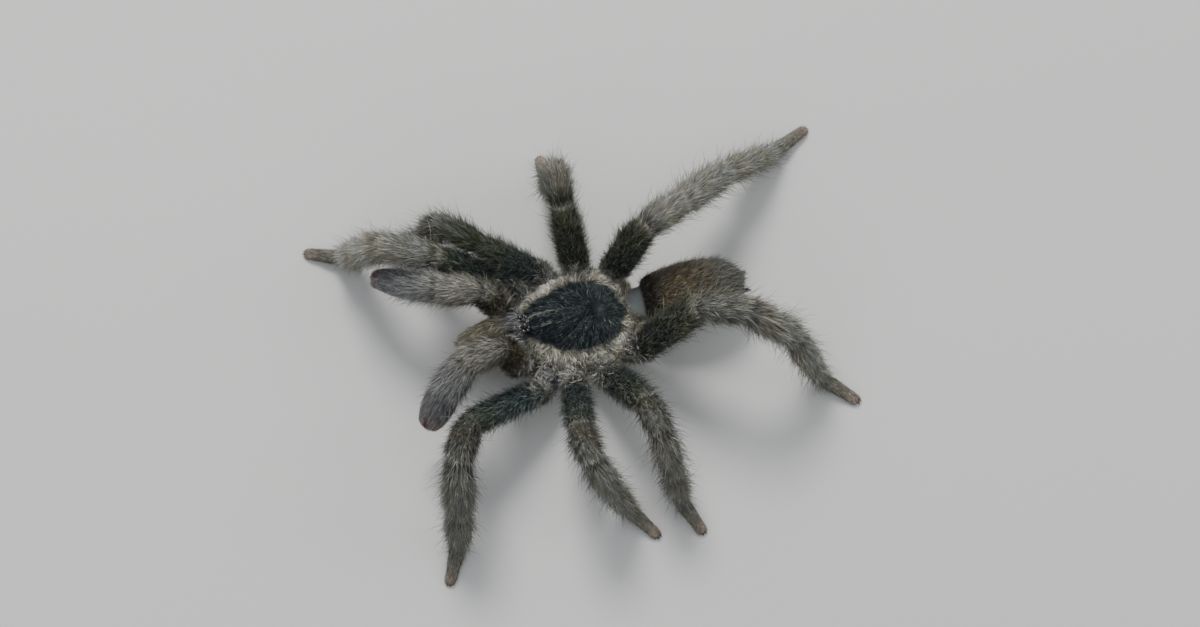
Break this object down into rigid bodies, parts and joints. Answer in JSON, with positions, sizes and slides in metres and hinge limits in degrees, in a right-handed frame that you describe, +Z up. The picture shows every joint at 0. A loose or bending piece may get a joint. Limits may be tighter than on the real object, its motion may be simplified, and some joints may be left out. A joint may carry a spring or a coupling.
{
  "type": "pink toe tarantula",
  "caption": "Life-size still model of a standing pink toe tarantula with a dark glossy carapace, grey-beige hairy legs and brownish pink toes.",
  "frame": {"origin": "middle of the outline of the whole animal, on the floor that it stands on", "axes": "+Z up from the floor, -Y the way the head faces, +X the left side of the animal"},
  "size_m": [0.0678, 0.0836, 0.021],
  "materials": {
    "carapace": "glossy dark green-black shell under short hair, with a cream fringe",
    "sternum": "dark velvety hair",
    "abdomen": "velvety brown hair, darker in front",
    "pedicel": "bare pale grey skin",
    "eye": "wet black",
    "fang": "polished black horn",
    "bulb": "polished red-brown horn",
    "spinneret": "dark velvety hair",
    "chelicera": "beige brown hair",
    "coxa": "cream and grey curly hair",
    "femur": "dark green-black hair with a satin sheen",
    "patella_tibia": "light grey-beige hair",
    "foot": "grey-beige hair, pinkish brown at the toes",
    "palp": "grey hair"
  },
  "bodies": {
    "root": {"carapace": "carapace", "sternum": "sternum", "abdomen": "abdomen", "pedicel": "pedicel", "eye_tubercle": "eye", "eye_main_left": "eye", "eye_main_right": "eye", "eyes_side_left": "eye", "eyes_side_right": "eye", "chelicera_left": "chelicera", "fang_left": "fang", "spinneret_left": "spinneret", "palpal_bulb_left": "bulb", "palp_left_coxa": "coxa", "palp_left_femur": "femur", "palp_left_patella": "palp", "palp_left_tibia_tarsus": "palp", "leg_left_1_coxa": "coxa", "leg_left_1_femur": "femur", "leg_left_1_patella_tibia": "patella_tibia", "leg_left_1_metatarsus_tarsus": "foot", "leg_left_2_coxa": "coxa", "leg_left_2_femur": "femur", "leg_left_2_patella_tibia": "patella_tibia", "leg_left_2_metatarsus_tarsus": "foot", "leg_left_3_coxa": "coxa", "leg_left_3_femur": "femur", "leg_left_3_patella_tibia": "patella_tibia", "leg_left_3_metatarsus_tarsus": "foot", "leg_left_4_coxa": "coxa", "leg_left_4_femur": "femur", "leg_left_4_patella_tibia": "patella_tibia", "leg_left_4_metatarsus_tarsus": "foot", "chelicera_right": "chelicera", "fang_right": "fang", "spinneret_right": "spinneret", "palpal_bulb_right": "bulb", "palp_right_coxa": "coxa", "palp_right_femur": "femur", "palp_right_patella": "palp", "palp_right_tibia_tarsus": "palp", "leg_right_1_coxa": "coxa", "leg_right_1_femur": "femur", "leg_right_1_patella_tibia": "patella_tibia", "leg_right_1_metatarsus_tarsus": "foot", "leg_right_2_coxa": "coxa", "leg_right_2_femur": "femur", "leg_right_2_patella_tibia": "patella_tibia", "leg_right_2_metatarsus_tarsus": "foot", "leg_right_3_coxa": "coxa", "leg_right_3_femur": "femur", "leg_right_3_patella_tibia": "patella_tibia", "leg_right_3_metatarsus_tarsus": "foot", "leg_right_4_coxa": "coxa", "leg_right_4_femur": "femur", "leg_right_4_patella_tibia": "patella_tibia", "leg_right_4_metatarsus_tarsus": "foot"}
  },
  "joints": []
}
